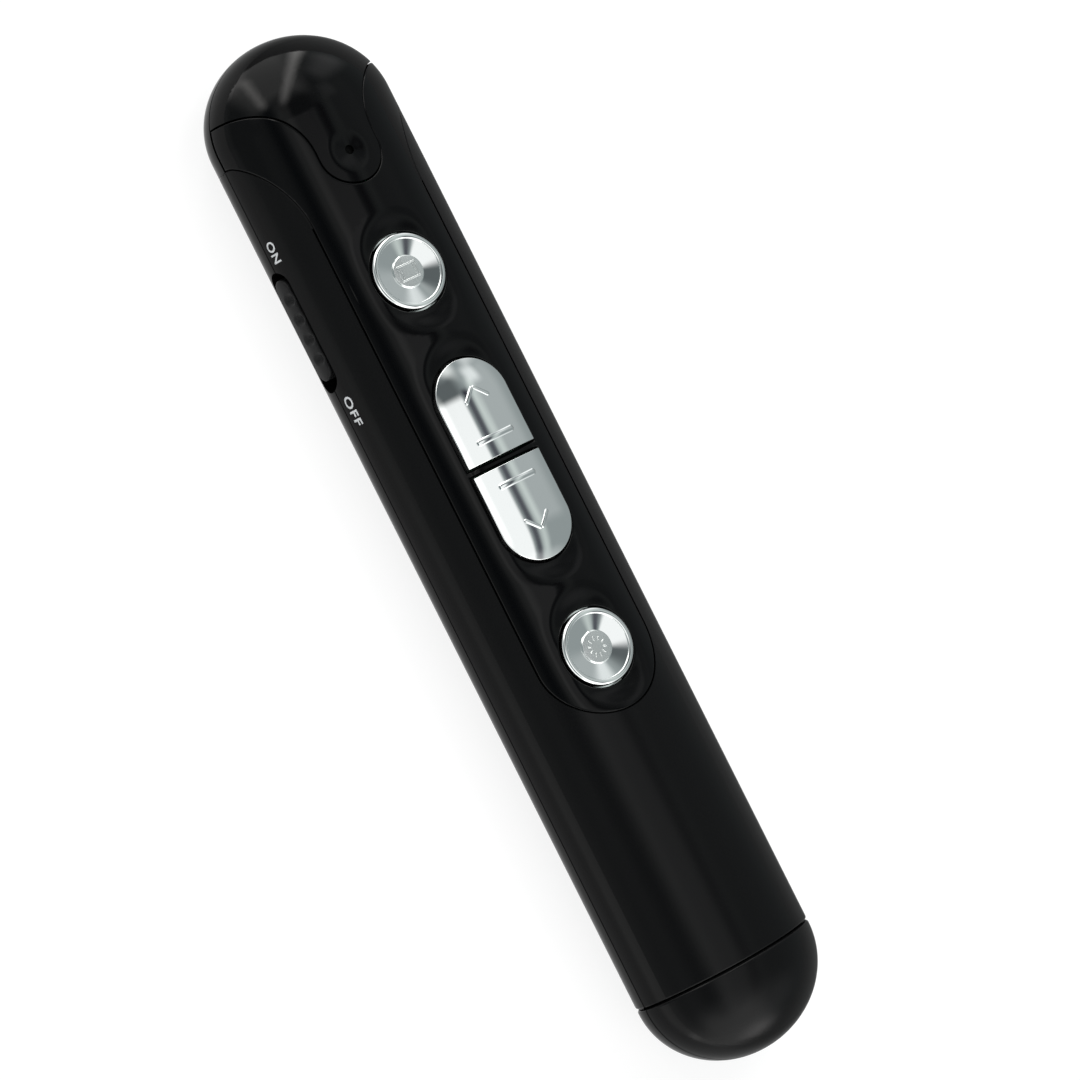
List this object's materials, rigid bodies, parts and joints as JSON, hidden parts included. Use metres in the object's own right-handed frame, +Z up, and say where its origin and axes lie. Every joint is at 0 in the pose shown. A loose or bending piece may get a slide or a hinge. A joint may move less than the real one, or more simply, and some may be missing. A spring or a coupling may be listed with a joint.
{
  "type": "laser pointer",
  "caption": "Stick-shaped wireless presenter with a laser pointer: buttons on a glossy top panel, a side slide switch, and a rear cap that pulls out as a radio receiver.",
  "frame": {"origin": "middle of the body's length and width, on the flat base", "axes": "+X towards the pull-out receiver at the rear, -X the way the laser points; +Z up out of the buttons; the slide switch is on the -Y side"},
  "size_m": [0.14, 0.0258, 0.017],
  "materials": {
    "gloss_shell": "polished black",
    "satin_shell": "fine satin texture, black",
    "chrome_button": "mirror-bright plated plastic",
    "knob": "matt dark grey",
    "steel": "bright stamped sheet",
    "board": "green board",
    "chip": "matt black package",
    "usb_plastic": "white insert",
    "gold_contact": "plated",
    "brass_barrel": "turned",
    "clear_lens": "clear, polished",
    "light_guide": "milky clear",
    "lamp": "small lamp",
    "cell_jacket": "plain printed jacket",
    "wire": "black insulation",
    "red_wire": "red insulation",
    "plunger": "black"
  },
  "bodies": {
    "root": {"nose_cap": "gloss_shell", "lower_nose": "gloss_shell", "top_panel": "gloss_shell", "top_shell": "satin_shell", "bottom_shell": "satin_shell", "main_board": "board", "tact_switches": "steel", "slide_switch_body": "steel", "indicator_lamp": "lamp", "light_pipe": "light_guide", "controller_chip": "chip", "radio_chip": "chip", "crystal": "steel", "laser_barrel": "brass_barrel", "laser_diode": "gold_contact", "laser_lens": "clear_lens", "laser_window": "clear_lens", "laser_leads": "red_wire", "battery_cell": "cell_jacket", "battery_spring": "steel", "spring_plate": "steel", "positive_contact": "steel", "negative_wire": "wire", "long_screws": "steel", "rear_screws": "steel"},
    "screen_key": {"screen_button": "chrome_button", "screen_plunger": "plunger"},
    "page_up_key": {"page_up_button": "chrome_button", "page_up_plunger": "plunger"},
    "page_down_key": {"page_down_button": "chrome_button", "page_down_plunger": "plunger"},
    "laser_key": {"laser_button": "chrome_button", "laser_plunger": "plunger"},
    "power_slide": {"power_knob": "knob", "slide_switch_lever": "plunger"},
    "battery_door": {"battery_door": "satin_shell"},
    "receiver": {"receiver_top_shell": "satin_shell", "receiver_bottom_shell": "satin_shell", "usb_plug_shell": "steel", "usb_tongue": "usb_plastic", "usb_contacts": "gold_contact", "receiver_board": "board", "receiver_chip": "chip"}
  },
  "joints": [
    {"name": "screen_press", "type": "slide", "parent": "root", "child": "screen_key", "axis": [0, 0, -1], "range_m": [0, 0.0003], "stiffness_N_per_m": 2500, "springref_m": -0.0003},
    {"name": "page_up_press", "type": "slide", "parent": "root", "child": "page_up_key", "axis": [0, 0, -1], "range_m": [0, 0.0003], "stiffness_N_per_m": 2500, "springref_m": -0.0003},
    {"name": "page_down_press", "type": "slide", "parent": "root", "child": "page_down_key", "axis": [0, 0, -1], "range_m": [0, 0.0003], "stiffness_N_per_m": 2500, "springref_m": -0.0003},
    {"name": "laser_press", "type": "slide", "parent": "root", "child": "laser_key", "axis": [0, 0, -1], "range_m": [0, 0.0003], "stiffness_N_per_m": 2500, "springref_m": -0.0003},
    {"name": "power_switch", "type": "slide", "parent": "root", "child": "power_slide", "axis": [1, 0, 0], "range_m": [0, 0.0015]},
    {"name": "battery_door_hinge", "type": "hinge", "parent": "root", "child": "battery_door", "pos_m": [-0.0017, 0, 0.0001], "axis": [0, 1, 0], "range_deg": [0, 60]},
    {"name": "receiver_pull", "type": "slide", "parent": "root", "child": "receiver", "axis": [1, 0, 0], "range_m": [0, 0.014]}
  ]
}
